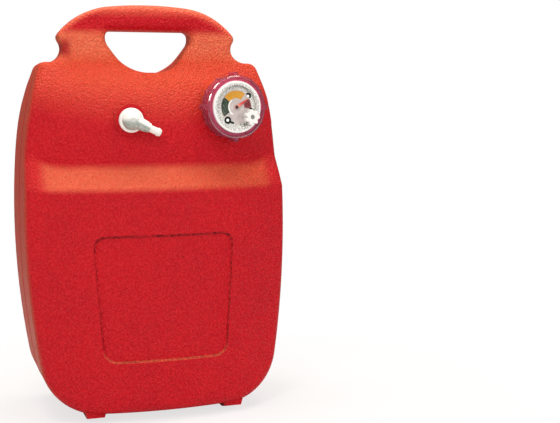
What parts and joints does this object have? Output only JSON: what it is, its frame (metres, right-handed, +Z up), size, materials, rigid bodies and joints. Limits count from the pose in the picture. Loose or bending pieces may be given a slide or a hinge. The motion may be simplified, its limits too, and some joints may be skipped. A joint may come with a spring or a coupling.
{
  "type": "portable fuel tank",
  "caption": "Portable outboard fuel tank: red moulded can with a carrying grip, screw cap with a float gauge and vent knob, and a swivelling outlet elbow with a hose barb.",
  "frame": {"origin": "on the ground, at the middle of the tank's width and depth", "axes": "+Z up, the front with gauge and outlet faces -Y, +X to the right as seen from the front"},
  "size_m": [0.3486, 0.2014, 0.5454],
  "materials": {
    "red_tank": "fine grained moulding",
    "clear_ring": "clear, slightly milky",
    "black_rubber": "matt",
    "white_plastic": "semi gloss",
    "dial_metal": "printed",
    "window_clear": "clear",
    "screw_steel": "bright",
    "pointer_red": "painted",
    "hub_dark": "dark",
    "bush_brass": "turned",
    "strip_steel": "rolled",
    "rod_steel": "drawn",
    "foot_plastic": "moulded",
    "clip_steel": "spring steel",
    "float_foam": "closed-cell foam",
    "slider_plastic": "moulded",
    "washer_rubber": "matt",
    "vent_screw_grey": "moulded",
    "knob_white": "semi gloss",
    "outlet_rubber": "matt",
    "bush_plastic": "moulded",
    "elbow_white": "semi gloss",
    "oring_rubber": "smooth",
    "barb_plastic": "semi gloss",
    "tube_plastic": "extruded",
    "strainer_plastic": "moulded"
  },
  "bodies": {
    "tank": {"tank_shell": "red_tank", "outlet_washer": "outlet_rubber", "outlet_bush": "bush_plastic", "pickup_tube": "tube_plastic", "strainer": "strainer_plastic"},
    "gasket": {"cap_gasket": "black_rubber"},
    "gauge_head": {"gauge_housing": "white_plastic", "dial_plate": "dial_metal", "dial_window": "window_clear", "dial_screws": "screw_steel", "spindle_bush": "bush_brass", "guide_rods": "rod_steel", "cage_foot": "foot_plastic", "rod_clips": "clip_steel"},
    "ring": {"cap_ring": "clear_ring"},
    "float_unit": {"float": "float_foam", "float_slider": "slider_plastic"},
    "spindle": {"twisted_strip": "strip_steel", "gauge_pointer": "pointer_red", "pointer_hub": "hub_dark"},
    "vent_seal": {"vent_washer": "washer_rubber"},
    "vent": {"vent_knob": "knob_white", "vent_screw": "vent_screw_grey"},
    "elbow": {"elbow_body": "elbow_white", "elbow_o_ring": "oring_rubber", "hose_barb": "barb_plastic"}
  },
  "joints": [
    {"name": "cap_lift_off", "type": "slide", "parent": "tank", "child": "gasket", "axis": [0.1392, -0.9903, 0], "range_m": [0, 0.165]},
    {"name": "cap_thread_rise", "type": "slide", "parent": "gasket", "child": "gauge_head", "axis": [0.1392, -0.9903, 0], "range_m": [0, 0.009]},
    {"name": "cap_ring_turn", "type": "hinge", "parent": "gauge_head", "child": "ring", "pos_m": [0.0982, -0.0813, 0.4078], "axis": [0.1392, -0.9903, 0], "range_deg": [0, 810]},
    {"name": "float_travel", "type": "slide", "parent": "gauge_head", "child": "float_unit", "axis": [0.1392, -0.9903, 0], "range_m": [-0.0188, 0.0852]},
    {"name": "pointer_turn", "type": "hinge", "parent": "gauge_head", "child": "spindle", "pos_m": [0.0982, -0.0813, 0.4078], "axis": [0.1392, -0.9903, 0], "range_deg": [-43, 191]},
    {"name": "vent_rise", "type": "slide", "parent": "gauge_head", "child": "vent_seal", "axis": [0.1392, -0.9903, 0], "range_m": [0, 0.00188]},
    {"name": "vent_turn", "type": "hinge", "parent": "vent_seal", "child": "vent", "pos_m": [0.11603, -0.0788, 0.3945], "axis": [0.1392, -0.9903, 0], "range_deg": [0, 540]},
    {"name": "elbow_swivel", "type": "hinge", "parent": "tank", "child": "elbow", "pos_m": [-0.0385, -0.0757, 0.3915], "axis": [0, -1, 0], "continuous": true}
  ],
  "couplings": [
    {"joint": "cap_thread_rise", "follows": "cap_ring_turn", "m_per_rad": 0.00063662},
    {"joint": "pointer_turn", "follows": "float_travel", "rad_per_m": 38.934},
    {"joint": "vent_rise", "follows": "vent_turn", "m_per_rad": 0.00019894}
  ]
}
